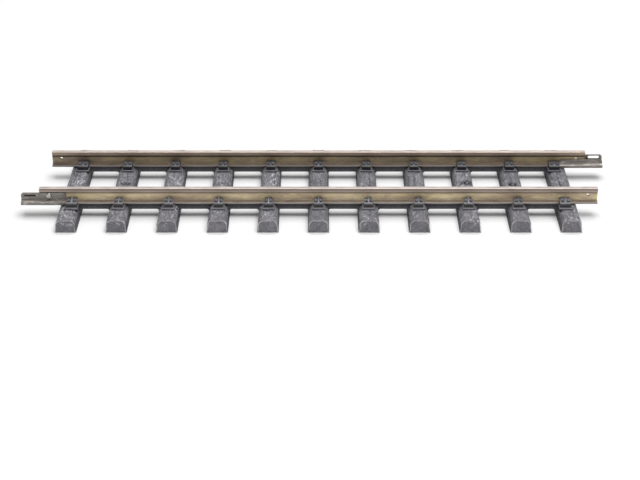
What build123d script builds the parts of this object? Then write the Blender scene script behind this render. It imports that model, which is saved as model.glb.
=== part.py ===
from build123d import *

import os

os.makedirs("parts", exist_ok=True)

# A straight section of large-scale model railway track: two brass rails, threaded
# through the chairs of a one-piece moulded strip of hollow sleepers, with a folded
# joiner screwed to one end of each rail.
#
# All sizes are in millimetres. +X runs along the track, +Y points to the back rail and
# +Z is up. The origin is under the middle of the track, level with the sleepers' soles.

# ---- Rails: one drawn, flat-bottomed brass section ---------------------------------
GAUGE = 45.0  # clear distance between the two rail heads
RAIL_LENGTH = 300.0
RAIL_HEIGHT = 8.43
HEAD_WIDTH = 3.0
HEAD_SIDE = 2.0  # upright side of the head
HEAD_UNDERCUT = 0.4  # drop from the side of the head to the web
HEAD_ROUND = 0.45
WEB_THICKNESS = 1.5
WEB_ROUND = 0.4  # where the web runs into the head and the foot
FOOT_WIDTH = 6.2
FOOT_EDGE = 0.8  # upright edge of the foot
FOOT_SLOPE = 0.7  # rise from the foot's edge to the web
FOOT_ROUND = 0.2

# ---- Tapped hole in the web at each rail end, for the joiner screws ----------------
HOLE_INSET = 5.1  # from the rail's end
HOLE_RISE = 4.4  # above the foot's sole
HOLE_RADIUS = 0.75

# ---- Sleepers: one moulding, hollow from below -------------------------------------
SLEEPER_COUNT = 11
SLEEPER_INSET = 16.0  # from the rail's end to the middle of the last sleeper
SLEEPER_OVERHANG = 22.1  # beyond the middle of the rail
SLEEPER_WIDTH = 11.3  # at the sole
SLEEPER_HEIGHT = 7.3
SLEEPER_DRAFT = 0.25  # each side leans in by this much up to its shoulder
SHOULDER_DROP = 2.7  # the long top edges are cut away this far down
SHOULDER_RUN = 2.4  # and this far across
SLEEPER_WALL = 1.6

# ---- Strips that tie the sleepers together under each rail -------------------------
STRIP_DEPTH = 2.9
STRIP_ROUND = 1.2  # where a strip runs down into the side of a sleeper

# ---- Chairs that hold the rail foot, with a plate and two bolt heads each side -----
PLATE_HEIGHT = 0.3
PLATE_WIDTH = 7.3  # along the rail
PLATE_REACH = 9.45  # from the middle of the rail
CHAIR_WIDTH = 5.3  # along the rail
END_CHAIR_WIDTH = 6.0
END_CHAIR_SHIFT = 1.6  # the last chairs stand this much nearer the middle
CHAIR_REACH = 7.0  # from the middle of the rail
CHAIR_FRONT = 2.0  # height of the jaw's outer face
CHAIR_PEAK = 3.1  # height of the jaw beside the web
CHAIR_CLEARANCE = 0.1  # round the rail, so that it slides
BOLT_RADIUS = 0.7
BOLT_HEIGHT = 3.0
BOLT_SPACING = 2.5  # along the rail
BOLT_REACH = 4.6  # from the middle of the rail

# ---- Lengthwise play of a rail in its chairs ---------------------------------------
PLAY_OUT = 1.6  # towards the rail's own joiner
PLAY_IN = 0.25  # away from it
STOP_GAP = 0.05  # left at either end of the play

# ---- Nib under each rail, and the notch in the foot that it stops in ---------------
NIB_LENGTH = 3.0
NIB_WIDTH = 2.0
NIB_HEIGHT = 0.5
NOTCH_CLEARANCE = 0.1  # beside and above the nib

# ---- Joiner: one folded brass sheet ------------------------------------------------
SHEET = 0.6
JOINER_FIT = 0.05  # between the sheet and the rail, except under the sole
JOINER_BEND = 0.7  # radius of the bends beside the web, on the rail's side
JOINER_HEM = 0.15  # radius of the bends round the foot, on the rail's side
HEAD_GAP = 0.15  # from the tall wall to the underside of the head
INNER_WALL_TOP = 3.9  # short wall on the track's inner side, above the foot's sole
WALL_CHAMFER = 1.0
SCREW_HOLE_RADIUS = 0.85  # also half the slot's width
SLOT_LENGTH = 6.4
SLOT_MARGIN = 1.6  # from the slot to the joiner's free end
RECESS_CLEARANCE = 0.1  # under the joiner, where it lies in the end sleeper
RECESS_SIDE_GAP = 0.2

# ---- Joiner screw ------------------------------------------------------------------
SCREW_RADIUS = 0.7
SCREW_HEAD_RADIUS = 1.45
SCREW_HEAD_HEIGHT = 0.9
SCREW_HEAD_ROUND = 0.5
CROSS_LENGTH = 1.8
CROSS_WIDTH = 0.35
CROSS_DEPTH = 0.5

SAME_PLACE = 0.01  # edges closer in height than this are level with each other

# ---- Worked out from the sizes above -----------------------------------------------
RAIL_LINE = (GAUGE + HEAD_WIDTH) / 2  # from the middle of the track to a rail's middle
RAIL_END = RAIL_LENGTH / 2
SEAT = SLEEPER_HEIGHT + PLATE_HEIGHT  # height of the rail foot's sole
HALF_WEB = WEB_THICKNESS / 2
HALF_FOOT = FOOT_WIDTH / 2
HEAD_LEDGE = RAIL_HEIGHT - HEAD_SIDE - HEAD_UNDERCUT  # head meets web at this height
SLEEPER_PITCH = (RAIL_LENGTH - 2 * SLEEPER_INSET) / (SLEEPER_COUNT - 1)
HALF_SLEEPER = RAIL_LINE + SLEEPER_OVERHANG
HALF_SHOULDER = SLEEPER_WIDTH / 2 - SLEEPER_DRAFT
END_SLEEPER = RAIL_END - SLEEPER_INSET
CHAIR_STOP = END_SLEEPER - END_CHAIR_SHIFT + END_CHAIR_WIDTH / 2  # a joiner stops here
JOINER_INNER_END = CHAIR_STOP + PLAY_IN + STOP_GAP
JOINER_OUTER_END = RAIL_END + HOLE_INSET + SLOT_LENGTH / 2 + SLOT_MARGIN
OUTER_WALL_TOP = HEAD_LEDGE - HEAD_GAP
WALL_FACE = HALF_WEB + JOINER_FIT + SHEET  # outer face of the joiner's tall wall
HALF_JOINER = HALF_FOOT + JOINER_FIT + SHEET


def rail_section():
    """Cross-section of a rail, with the middle of its sole at the origin."""
    right = [
        (HALF_FOOT, 0),
        (HALF_FOOT, FOOT_EDGE),
        (HALF_WEB, FOOT_EDGE + FOOT_SLOPE),
        (HALF_WEB, HEAD_LEDGE),
        (HEAD_WIDTH / 2, HEAD_LEDGE + HEAD_UNDERCUT),
        (HEAD_WIDTH / 2, RAIL_HEIGHT),
    ]
    left = [(-across, up) for across, up in reversed(right)]
    section = make_face(Polyline(*right, *left, close=True))
    rows = section.vertices().group_by(Axis.Y)
    foot_edges, foot_roots, head_roots, head_tops = rows[0] + rows[1], rows[2], rows[3], rows[5]
    section = fillet(foot_roots + head_roots, WEB_ROUND)
    section = fillet(nearest(section, foot_edges), FOOT_ROUND)
    return fillet(nearest(section, head_tops), HEAD_ROUND)


def nearest(shape, points):
    """The corners of a shape that lie at the given points."""
    return [shape.vertices().sort_by_distance(point)[0] for point in points]


def along_track(section, start, end):
    """A cross-section drawn across the track, drawn out from start to end along X."""
    return Pos(X=start) * extrude(Plane.YZ * section, end - start)


def cross_hole(radius, start, end):
    """A round bar along Y from start to end."""
    middle = Pos(Y=(start + end) / 2)
    return middle * Rot(X=90) * Cylinder(radius, end - start)


def block(x_span, y_span, z_span):
    """A box between three pairs of limits."""
    spans = [x_span, y_span, z_span]
    centre = [(low + high) / 2 for low, high in spans]
    sides = [high - low for low, high in spans]
    return Pos(*centre) * Box(*sides)


def place_front(piece):
    """Move a piece from a rail's own frame to the front rail's place."""
    return Pos(Y=-RAIL_LINE, Z=SEAT) * piece


def place_back(piece):
    """The same for the back rail, turned half round, so its joiner is at the +X end."""
    return Rot(Z=180) * place_front(piece)


# The rail, joiner and screw are drawn in a rail's own frame: its sole's middle line is
# the X axis, its joiner is at the -X end and the outside of the track is towards -Y.


def rail():
    """A rail with a tapped hole near each end and a stop notch under its middle."""
    bar = along_track(rail_section(), -RAIL_END, RAIL_END)
    for side in (-1, 1):
        hole = cross_hole(HOLE_RADIUS, -HALF_FOOT, HALF_FOOT)
        bar -= Pos(X=side * (RAIL_END - HOLE_INSET), Z=HOLE_RISE) * hole
    notch = block(
        (-NIB_LENGTH / 2 - PLAY_IN - STOP_GAP, NIB_LENGTH / 2 + PLAY_OUT + STOP_GAP),
        (-NIB_WIDTH / 2 - NOTCH_CLEARANCE, NIB_WIDTH / 2 + NOTCH_CLEARANCE),
        (-NIB_HEIGHT, NIB_HEIGHT + NOTCH_CLEARANCE),
    )
    return bar - notch


def joiner_section():
    """The folded sheet: tall outer wall, wrap round the foot, short inner wall."""
    wall = HALF_WEB + JOINER_FIT
    hem = HALF_FOOT + JOINER_FIT
    hem_top = FOOT_EDGE + JOINER_FIT
    bend_top = hem_top + FOOT_SLOPE
    inside = FilletPolyline(
        (-wall, OUTER_WALL_TOP),
        (-wall, bend_top),
        (-hem, hem_top),
        (-hem, 0),
        (hem, 0),
        (hem, hem_top),
        (wall, bend_top),
        (wall, INNER_WALL_TOP),
        radius=[JOINER_BEND, JOINER_HEM, JOINER_HEM, JOINER_HEM, JOINER_HEM, JOINER_BEND],
    )
    return make_face(offset(inside, SHEET, side=Side.LEFT))


def joiner():
    """A joiner on the -X end of a rail, half its length waiting for the next rail."""
    sheet = along_track(joiner_section(), -JOINER_OUTER_END, -JOINER_INNER_END)
    for height in (OUTER_WALL_TOP, INNER_WALL_TOP):
        crosswise = sheet.edges().filter_by(Axis.Y)
        corners = [edge for edge in crosswise if abs(edge.center().Z - height) < SAME_PLACE]
        sheet = chamfer(corners, WALL_CHAMFER)
    outer_wall = (-HALF_JOINER, 0)
    screw_hole = cross_hole(SCREW_HOLE_RADIUS, *outer_wall)
    sheet -= Pos(X=HOLE_INSET - RAIL_END, Z=HOLE_RISE) * screw_hole
    slot_outline = Plane.XZ * SlotOverall(SLOT_LENGTH, 2 * SCREW_HOLE_RADIUS)
    slot = extrude(slot_outline, HALF_JOINER)
    return sheet - Pos(X=-HOLE_INSET - RAIL_END, Z=HOLE_RISE) * slot


def joiner_screw():
    """A cross-recessed pan-head screw that ends level with the rail's inner side."""
    shank = cross_hole(SCREW_RADIUS, -WALL_FACE, HALF_WEB)
    head = cross_hole(SCREW_HEAD_RADIUS, -WALL_FACE - SCREW_HEAD_HEIGHT, -WALL_FACE)
    rim = head.edges().filter_by(GeomType.CIRCLE).sort_by(Axis.Y)[0]
    head = fillet(rim, SCREW_HEAD_ROUND)
    depth = (-WALL_FACE - SCREW_HEAD_HEIGHT, -WALL_FACE - SCREW_HEAD_HEIGHT + CROSS_DEPTH)
    long_arm = (-CROSS_LENGTH / 2, CROSS_LENGTH / 2)
    short_arm = (-CROSS_WIDTH / 2, CROSS_WIDTH / 2)
    head -= block(long_arm, depth, short_arm)
    head -= block(short_arm, depth, long_arm)
    return Pos(X=HOLE_INSET - RAIL_END, Z=HOLE_RISE) * (head + shank)


# The sleeper strip is drawn straight in the track's frame.


def sleeper_section(below=0):
    """Arched cross-section of a sleeper, carried on below its sole if wanted."""
    right = [
        (SLEEPER_WIDTH / 2, -below),
        (SLEEPER_WIDTH / 2, 0),
        (HALF_SHOULDER, SLEEPER_HEIGHT - SHOULDER_DROP),
        (HALF_SHOULDER - SHOULDER_RUN, SLEEPER_HEIGHT),
    ]
    if not below:
        right = right[1:]
    left = [(-across, up) for across, up in reversed(right)]
    return make_face(Polyline(*right, *left, close=True))


def across_track(section, start, end):
    """A cross-section drawn along the track, drawn out from start to end along Y."""
    return Pos(Y=end) * extrude(Plane.XZ * section, end - start)


def sleeper_body():
    """One sleeper, hollow from below, with a rib left under each rail."""
    body = across_track(sleeper_section(), -HALF_SLEEPER, HALF_SLEEPER)
    core = offset(
        sleeper_section(below=2 * SLEEPER_WALL), -SLEEPER_WALL, kind=Kind.INTERSECTION
    )
    rib = SLEEPER_WALL / 2
    end = HALF_SLEEPER - SLEEPER_WALL
    cells = [
        (-end, -RAIL_LINE - rib),
        (rib - RAIL_LINE, RAIL_LINE - rib),
        (RAIL_LINE + rib, end),
    ]
    for start, stop in cells:
        body -= across_track(core, start, stop)
    return body


def chair(width):
    """A plate with a jaw on each side of the rail, in a rail's own frame."""
    plate = block(
        (-PLATE_WIDTH / 2, PLATE_WIDTH / 2),
        (-PLATE_REACH, PLATE_REACH),
        (-PLATE_HEIGHT - SHOULDER_DROP, 0),
    )
    roof = make_face(
        Polyline(
            (-CHAIR_REACH, -PLATE_HEIGHT),
            (-CHAIR_REACH, CHAIR_FRONT),
            (-HALF_WEB, CHAIR_PEAK),
            (HALF_WEB, CHAIR_PEAK),
            (CHAIR_REACH, CHAIR_FRONT),
            (CHAIR_REACH, -PLATE_HEIGHT),
            close=True,
        )
    )
    jaws = along_track(roof, -width / 2, width / 2)
    for side in (-1, 1):
        for end in (-1, 1):
            bolt = Cylinder(BOLT_RADIUS, BOLT_HEIGHT)
            jaws += Pos(end * BOLT_SPACING / 2, side * BOLT_REACH, BOLT_HEIGHT / 2) * bolt
    room = offset(rail_section(), CHAIR_CLEARANCE, kind=Kind.INTERSECTION)
    passage = along_track(room, -PLATE_WIDTH, PLATE_WIDTH)
    passage &= block(
        (-PLATE_WIDTH, PLATE_WIDTH), (-PLATE_REACH, PLATE_REACH), (0, 2 * RAIL_HEIGHT)
    )
    return plate + (jaws - passage)


def strip_bay():
    """The stretch of strip between two neighbouring sleepers, in a rail's own frame."""
    gap = SLEEPER_PITCH - 2 * HALF_SHOULDER
    root = SLEEPER_WALL - 2 * SLEEPER_DRAFT  # buried in the wall of each sleeper
    beam = Pos(Y=-STRIP_DEPTH / 2) * Rectangle(gap + 2 * root, STRIP_DEPTH)
    outline = beam
    leg_height = STRIP_DEPTH + 2 * STRIP_ROUND
    for side in (-1, 1):
        leg = Rectangle(root, leg_height)
        outline += Pos(side * (gap + root) / 2, -leg_height / 2) * leg
    corners = [(side * gap / 2, -STRIP_DEPTH, 0) for side in (-1, 1)]
    outline = fillet(nearest(outline, corners), STRIP_ROUND)
    return across_track(outline, -HALF_FOOT, HALF_FOOT)


def joiner_recess():
    """Room in an end sleeper for a joiner, from the end chair outwards along +X."""
    side = HALF_JOINER + RECESS_SIDE_GAP
    return block(
        (CHAIR_STOP, END_SLEEPER + SLEEPER_WIDTH),
        (-side, side),
        (-SHEET - RECESS_CLEARANCE, RAIL_HEIGHT),
    )


def sleeper_strip():
    """All sleepers with their chairs, tied by a strip under each rail."""
    plain_chair = chair(CHAIR_WIDTH)
    end_chair = chair(END_CHAIR_WIDTH)
    body = sleeper_body()
    pieces = []
    for number in range(SLEEPER_COUNT):
        place = number * SLEEPER_PITCH - END_SLEEPER
        last = number in (0, SLEEPER_COUNT - 1)
        shift = END_CHAIR_SHIFT if place < 0 else -END_CHAIR_SHIFT
        sleeper = Pos(X=place) * body
        for line in (-RAIL_LINE, RAIL_LINE):
            if last:
                sleeper += Pos(place + shift, line, SEAT) * end_chair
            else:
                sleeper += Pos(place, line, SEAT) * plain_chair
        pieces.append(sleeper)
    for number in range(SLEEPER_COUNT - 1):
        place = (number + 0.5) * SLEEPER_PITCH - END_SLEEPER
        for line in (-RAIL_LINE, RAIL_LINE):
            pieces.append(Pos(place, line, SEAT) * strip_bay())
    strip = pieces[0].fuse(*pieces[1:])
    middle = SLEEPER_COUNT // 2 * SLEEPER_PITCH - END_SLEEPER
    for line in (-RAIL_LINE, RAIL_LINE):
        nib = block(
            (-NIB_LENGTH / 2, NIB_LENGTH / 2),
            (-NIB_WIDTH / 2, NIB_WIDTH / 2),
            (-PLATE_HEIGHT, NIB_HEIGHT),
        )
        strip += Pos(middle, line, SEAT) * nib
        for turn in (0, 180):
            strip -= Rot(Z=turn) * Pos(Y=line, Z=SEAT) * joiner_recess()
    return strip


parts = {
    "sleeper_strip": sleeper_strip(),
    "rail_front": place_front(rail()),
    "rail_back": place_back(rail()),
    "joiner_left": place_front(joiner()),
    "joiner_right": place_back(joiner()),
    "joiner_screw_left": place_front(joiner_screw()),
    "joiner_screw_right": place_back(joiner_screw()),
}

for name, part in parts.items():
    export_step(part, f"parts/{name}.step")
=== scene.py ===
"""Looks of a straight section of large-scale model railway track.

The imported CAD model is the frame. Its rails, joiners and screws stay and get their
finishes here; the moulded sleeper strip is replaced by a finely modelled one with
wood grain, chairs and bolt heads. Lengths in the classes are millimetres.
"""

import logging
import math
from collections.abc import Iterable, Sequence
from dataclasses import dataclass, field, replace
from enum import Enum

import bmesh
import bpy
import numpy as np
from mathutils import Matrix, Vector

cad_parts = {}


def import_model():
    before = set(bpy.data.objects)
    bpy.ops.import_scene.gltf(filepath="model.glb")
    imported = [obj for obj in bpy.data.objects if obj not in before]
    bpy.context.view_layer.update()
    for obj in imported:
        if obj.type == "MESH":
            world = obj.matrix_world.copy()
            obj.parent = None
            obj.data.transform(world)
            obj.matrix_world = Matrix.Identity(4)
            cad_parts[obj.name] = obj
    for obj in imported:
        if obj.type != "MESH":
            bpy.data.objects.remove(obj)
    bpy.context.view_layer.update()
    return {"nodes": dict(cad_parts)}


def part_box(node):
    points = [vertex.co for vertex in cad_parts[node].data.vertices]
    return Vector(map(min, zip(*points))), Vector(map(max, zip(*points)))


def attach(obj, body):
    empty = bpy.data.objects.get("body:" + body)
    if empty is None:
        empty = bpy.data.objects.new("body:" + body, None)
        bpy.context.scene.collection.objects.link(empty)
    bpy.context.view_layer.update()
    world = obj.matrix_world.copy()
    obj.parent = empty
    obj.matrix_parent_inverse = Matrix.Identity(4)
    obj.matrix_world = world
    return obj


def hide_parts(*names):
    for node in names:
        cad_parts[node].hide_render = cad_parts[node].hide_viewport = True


log = logging.getLogger("track")

MM = 0.001
SLEEPER_BODY = "sleepers"
SLEEPER_NODE = "sleeper_strip"
USUAL_NOISE = {1: 0.3, 2: 0.7}  # input range: nearly all of a random pattern lies in it
USUAL_SPECULAR = 0.5
EASED = {"interpolation_type": "SMOOTHSTEP"}

Point = tuple[float, float]
Cell = tuple[float, float, float]
Faces = list[tuple[int, ...]]
Arrays = tuple[np.ndarray, np.ndarray]
Inputs = dict[str | int, object]
Socket = bpy.types.NodeSocket


# ---- Small helpers -----------------------------------------------------------------


def linear(hex_colour: str) -> tuple[float, float, float, float]:
    """Turns an sRGB hex colour into linear RGBA.

    Args:
        hex_colour: six hex digits, such as "a89c80".

    Returns:
        Red, green, blue and an alpha of 1.
    """
    channels = []
    for start in (0, 2, 4):
        value = int(hex_colour[start : start + 2], 16) / 255
        low = value <= 0.04045
        channels.append(value / 12.92 if low else ((value + 0.055) / 1.055) ** 2.4)
    return (*channels, 1.0)


def per_metre(size_mm: float) -> float:
    """The texture scale at which one cell of a pattern has this real size."""
    return 1.0 / (size_mm * MM)


def add_node(
    tree: bpy.types.NodeTree,
    kind: str,
    inputs: Inputs | None = None,
    output: str | int = 0,
    **settings: object,
) -> Socket | None:
    """Adds a shader node with its settings, values and links.

    Args:
        tree: the node tree that gets the node.
        kind: Blender's name for the kind of node.
        inputs: a value or a socket to link for each input, by name or place.
        output: the output that is wanted, by name or place.
        settings: the node's own properties.

    Returns:
        That output, or nothing from a node that has none.
    """
    node = tree.nodes.new(kind)
    for name, value in settings.items():
        setattr(node, name, value)
    for key, value in (inputs or {}).items():
        if isinstance(value, Socket):
            tree.links.new(value, node.inputs[key])
        else:
            node.inputs[key].default_value = value
    return node.outputs[output] if node.outputs else None


def blank_material(name: str) -> tuple[bpy.types.Material, bpy.types.NodeTree]:
    """Makes an empty node material.

    Args:
        name: the finish's name in a maker's words.

    Returns:
        The material and its node tree.
    """
    material = bpy.data.materials.new(name)
    material.use_nodes = True
    material.node_tree.nodes.clear()
    return material, material.node_tree


def dress(piece: bpy.types.Object, material: bpy.types.Material) -> None:
    """Gives every face of a piece one material.

    Args:
        piece: the piece.
        material: its new material.
    """
    if not piece.material_slots:
        piece.data.materials.append(material)
    for slot in piece.material_slots:
        slot.material = material


def link(name: str, data: bpy.types.ID) -> bpy.types.Object:
    """Puts an object that shows a mesh, a light or a camera into the scene.

    Args:
        name: the object's name.
        data: what it shows.

    Returns:
        The object.
    """
    thing = bpy.data.objects.new(name, data)
    bpy.context.scene.collection.objects.link(thing)
    return thing


def smoothstep(low: float, high: float, value: np.ndarray) -> np.ndarray:
    """Rises smoothly from 0 at low to 1 at high."""
    t = np.clip((value - low) / (high - low), 0.0, 1.0)
    return t * t * (3.0 - 2.0 * t)


class Attribute(Enum):
    """The point attributes that the moulded meshes carry: wear, which also holds painted light,
    and grime, which also holds painted shade.
    """

    WEAR = "wear"
    GRIME = "grime"


class Axis(Enum):
    """The direction in which a prism is drawn out."""

    ALONG_TRACK = "X"
    ACROSS_TRACK = "Y"


class Flank(Enum):
    """The side of a rail that a jaw stands on."""

    OUTER = "outer"
    INNER = "inner"


# ---- Finishes ----------------------------------------------------------------------


class Measure(Enum):
    """What a colour follows over a surface."""

    RISE = "height above the sole in millimetres"
    LEVEL = "that height, wavering with the mottle"
    PATCH = "long patches"
    CLOUD = "clouds"
    MOTTLE = "cloudy spots"
    SPECKS = "specks"
    STREAKS = "lines along the piece"
    SCRATCHES = "short crooked scratches"
    PORES = "moulded pores"
    FIBRES = "moulded wood fibres"
    # also painted shade on shaded sides, under parts and in corners
    GRIME = "dirt in the hollows"
    RUBBED = "what is rubbed pale"


@dataclass(frozen=True)
class Layer:
    """A colour laid over those below it where a measure passes from one value to another."""

    colour: str
    measure: Measure
    none_at: float
    full_at: float
    share: float = 1.0  # how much of the colour covers those below it
    soft: bool = True  # comes in with an eased edge, otherwise in proportion


class Coat:
    """A material in the making: its measures, its colour so far and its shader."""

    def __init__(self, name: str, base: str) -> None:
        """Starts the material.

        Args:
            name: the finish's name in a maker's words.
            base: the lowest colour, as six hex digits.
        """
        self.material, self.tree = blank_material(name)
        self.place = add_node(self.tree, "ShaderNodeTexCoord", output="Object")
        self.colour: Socket | tuple[float, ...] = linear(base)
        self.measures: dict[Measure, Socket] = {}

    def pattern(
        self,
        measure: Measure,
        cell: Cell,
        detail: float = 4.0,
        roughness: float = 0.6,
        distortion: float = 0.0,
    ) -> Socket:
        """Adds a random pattern as a measure from 0 to 1.

        Args:
            measure: what the pattern stands for.
            cell: real size of its cells along X, Y and Z, in millimetres.
            detail: how many finer copies of the pattern lie over it.
            roughness: how strong those are.
            distortion: how far the cells are pulled out of shape.

        Returns:
            The pattern.
        """
        scale = tuple(per_metre(side) for side in cell)
        stretch = {"Vector": self.place, "Scale": scale}
        inputs = {
            "Vector": add_node(self.tree, "ShaderNodeMapping", stretch),
            "Scale": 1.0,
            "Detail": detail,
            "Roughness": roughness,
            "Distortion": distortion,
        }
        self.measures[measure] = add_node(self.tree, "ShaderNodeTexNoise", inputs)
        return self.measures[measure]

    def lay(self, *layers: Layer) -> None:
        """Lays colours over the colour so far.

        Args:
            layers: the colours, from the lowest up.
        """
        for layer in layers:
            measure = self.measures[layer.measure]
            passing = {0: measure, 1: layer.none_at, 2: layer.full_at, 4: layer.share}
            mask = add_node(
                self.tree, "ShaderNodeMapRange", passing, **(EASED if layer.soft else {})
            )
            mixed = {"Factor": mask, 6: self.colour, 7: linear(layer.colour)}
            self.colour = add_node(self.tree, "ShaderNodeMix", mixed, 2, data_type="RGBA")

    def shade(self, measure: Measure, shading: Point) -> None:
        """Makes the colour so far darker and lighter with a pattern.

        Args:
            measure: the pattern.
            shading: what multiplies the colour where the pattern is lowest and highest.
        """
        darkest, lightest = shading
        span = {**USUAL_NOISE, 3: darkest, 4: lightest}
        tone = add_node(self.tree, "ShaderNodeMapRange", {0: self.measures[measure], **span})
        scaled = {0: self.colour, "Scale": tone}
        self.colour = add_node(self.tree, "ShaderNodeVectorMath", scaled, operation="SCALE")

    def finish(self, relief: Socket, bump: Point, looks: Inputs) -> bpy.types.Material:
        """Adds the fine relief and the shader.

        Args:
            relief: height of the relief, from 0 to 1.
            bump: how strongly it catches the light, and its real depth in millimetres.
            looks: the shader's other values and links.

        Returns:
            The finished material.
        """
        strength, depth = bump
        height = {"Strength": strength, "Distance": depth * MM, "Height": relief}
        bump = add_node(self.tree, "ShaderNodeBump", height)
        surface = {"Base Color": self.colour, "Normal": bump, **looks}
        shader = add_node(self.tree, "ShaderNodeBsdfPrincipled", surface)
        add_node(self.tree, "ShaderNodeOutputMaterial", {"Surface": shader})
        return self.material


@dataclass(frozen=True)
class DrawnBrass:
    """Drawn brass rail: dull with tarnish, and polished on top by wheels.

    The crown is bright and slightly pink, the upright side of the head is brown above
    and paler below, a dark line of dirt and painted shade lies under the head, the web
    shows olive-yellow brass in clouds, and the foot is dark in its crease with dirt and
    painted shade and grey outside. The head's brown also covers the rounded edge under
    the crown, as a painted dark reflection.
    """

    name: str
    crown: str
    head: str
    head_low: str
    dirt: str
    web: str
    web_dull: str
    bare: str
    crease_dirt_and_shade: str
    foot: str
    ledge_dirt_and_shade: float = 0.8  # share of dirt and painted shade under the head
    bare_share: float = 0.5  # how much of the fresh brass shows
    patch: Cell = (34.0, 9.0, 9.0)  # tarnish along the rail
    mottle: Cell = (7.04, 3.2, 3.2)
    cloud: Cell = (6.0, 3.0, 2.0)
    speck: Cell = (0.9, 0.9, 0.7)
    streak: Cell = (21.0, 1.0, 0.35)  # drawing lines, drawn coarser than the real 0.05 mm
    scratch: Cell = (1.6, 4.0, 0.5)
    waver: float = 0.7  # height by which the mottle bends the zones
    # the head's brown keeps the rounded edge below the crown's edge dark: a painted dark
    # reflection
    crown_edge: Point = (8.34, 8.415)
    roughness: float = 0.42
    polish: float = 0.34  # roughness of the crown
    mottle_roughness: float = 0.22
    shading: Point = (0.84, 1.12)  # darkest and lightest of the mottle
    bump: Point = (0.35, 0.04)  # strength and depth of the fine relief

    def layers(self) -> list[Layer]:
        """The colours of web, foot, head and crown, by height above the rail's sole."""
        return [
            Layer(self.web, Measure.PATCH, 0.38, 0.62),
            Layer(self.bare, Measure.CLOUD, 0.50, 0.66, self.bare_share),
            # dirt and painted shade darken the lower web down into the crease at the foot
            Layer(self.crease_dirt_and_shade, Measure.LEVEL, 2.5, 1.5, 0.45),
            Layer(self.crease_dirt_and_shade, Measure.RISE, 1.62, 1.42),
            Layer(self.foot, Measure.RISE, 0.96, 0.80),
            # a dark line of dirt and painted shade under the head
            Layer(self.dirt, Measure.LEVEL, 4.85, 5.5, self.ledge_dirt_and_shade),
            Layer(self.head_low, Measure.RISE, 6.38, 6.5),
            # this brown also covers the rounded edge under the crown, as a painted dark reflection
            Layer(self.head, Measure.LEVEL, 7.0, 7.5),
            Layer(self.crown, Measure.RISE, *self.crown_edge),
            Layer(self.dirt, Measure.SPECKS, 0.60, 0.72, 0.25),
        ]

    def material(self, sole: float, height: float) -> bpy.types.Material:
        """Builds the finish for a rail.

        Args:
            sole: height of the rail's sole, in metres.
            height: height of the rail itself, in metres.

        Returns:
            The node material.
        """
        coat = Coat(self.name, self.web_dull)
        tree = coat.tree
        upright = add_node(tree, "ShaderNodeSeparateXYZ", {0: coat.place}, "Z")
        span = {1: sole, 2: sole + height, 4: height / MM}
        rise = add_node(tree, "ShaderNodeMapRange", {0: upright, **span}, clamp=False)
        mottle = coat.pattern(Measure.MOTTLE, self.mottle)
        sunk = add_node(tree, "ShaderNodeMath", {0: rise, 1: -self.waver / 2}, operation="ADD")
        waver = {0: mottle, 1: self.waver, 2: sunk}
        level = add_node(tree, "ShaderNodeMath", waver, operation="MULTIPLY_ADD")
        coat.measures |= {Measure.RISE: rise, Measure.LEVEL: level}
        coat.pattern(Measure.PATCH, self.patch)
        coat.pattern(Measure.SPECKS, self.speck)
        coat.pattern(Measure.CLOUD, self.cloud, distortion=0.8)
        coat.lay(*self.layers())
        coat.shade(Measure.MOTTLE, self.shading)
        low, high = self.crown_edge
        polish = {0: rise, 1: low, 2: high, 3: self.roughness, 4: self.polish}
        polished = add_node(tree, "ShaderNodeMapRange", polish, **EASED)
        uneven = {0: mottle, 1: self.mottle_roughness, 2: polished}
        rough = add_node(tree, "ShaderNodeMath", uneven, operation="MULTIPLY_ADD")
        streaks = coat.pattern(Measure.STREAKS, self.streak)
        scratches = coat.pattern(Measure.SCRATCHES, self.scratch, distortion=1.4)
        relief = add_node(tree, "ShaderNodeMath", {0: streaks, 1: scratches}, operation="ADD")
        return coat.finish(relief, self.bump, {"Metallic": 0.88, "Roughness": rough})


@dataclass(frozen=True)
class FoldedBrass:
    """Folded brass sheet of a joiner, gone brown-grey with tarnish and streaked along it."""

    name: str = "folded_brass_tarnished"
    dull: str = "827d78"
    worn: str = "a8a39c"
    bare: str = "c4b597"
    bare_share: float = 0.3
    mottle: Cell = (4.0, 2.0, 1.6)
    streak: Cell = (9.0, 0.6, 0.3)
    roughness: Point = (0.55, 0.39)  # from dull to worn
    shading: Point = (0.88, 1.12)  # darkest and lightest of the streaks
    bump: Point = (0.3, 0.04)

    def material(self) -> bpy.types.Material:
        """Builds the finish.

        Returns:
            The node material.
        """
        coat = Coat(self.name, self.dull)
        mottle = coat.pattern(Measure.MOTTLE, self.mottle)
        streaks = coat.pattern(Measure.STREAKS, self.streak)
        coat.lay(
            Layer(self.worn, Measure.MOTTLE, 0.50, 0.68),
            Layer(self.bare, Measure.STREAKS, 0.62, 0.72, self.bare_share),
        )
        coat.shade(Measure.STREAKS, self.shading)
        dull, worn = self.roughness
        span = {**USUAL_NOISE, 3: dull, 4: worn}
        rough = add_node(coat.tree, "ShaderNodeMapRange", {0: mottle, **span})
        return coat.finish(streaks, self.bump, {"Metallic": 0.8, "Roughness": rough})


@dataclass(frozen=True)
class NickelPlate:
    """Nickel-plated steel screw: bright, with fine turning marks."""

    name: str = "nickel_plated_steel"
    colour: str = "d9d6cf"
    shade: str = "8d8a84"
    grain: Cell = (0.75, 0.75, 0.75)
    roughness: float = 0.22
    bump: Point = (0.2, 0.02)

    def material(self) -> bpy.types.Material:
        """Builds the finish.

        Returns:
            The node material.
        """
        coat = Coat(self.name, self.colour)
        grain = coat.pattern(Measure.SPECKS, self.grain, detail=3.0, roughness=0.5)
        coat.lay(Layer(self.shade, Measure.SPECKS, 0.0, 1.0, soft=False))
        return coat.finish(grain, self.bump, {"Metallic": 1.0, "Roughness": self.roughness})


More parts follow.
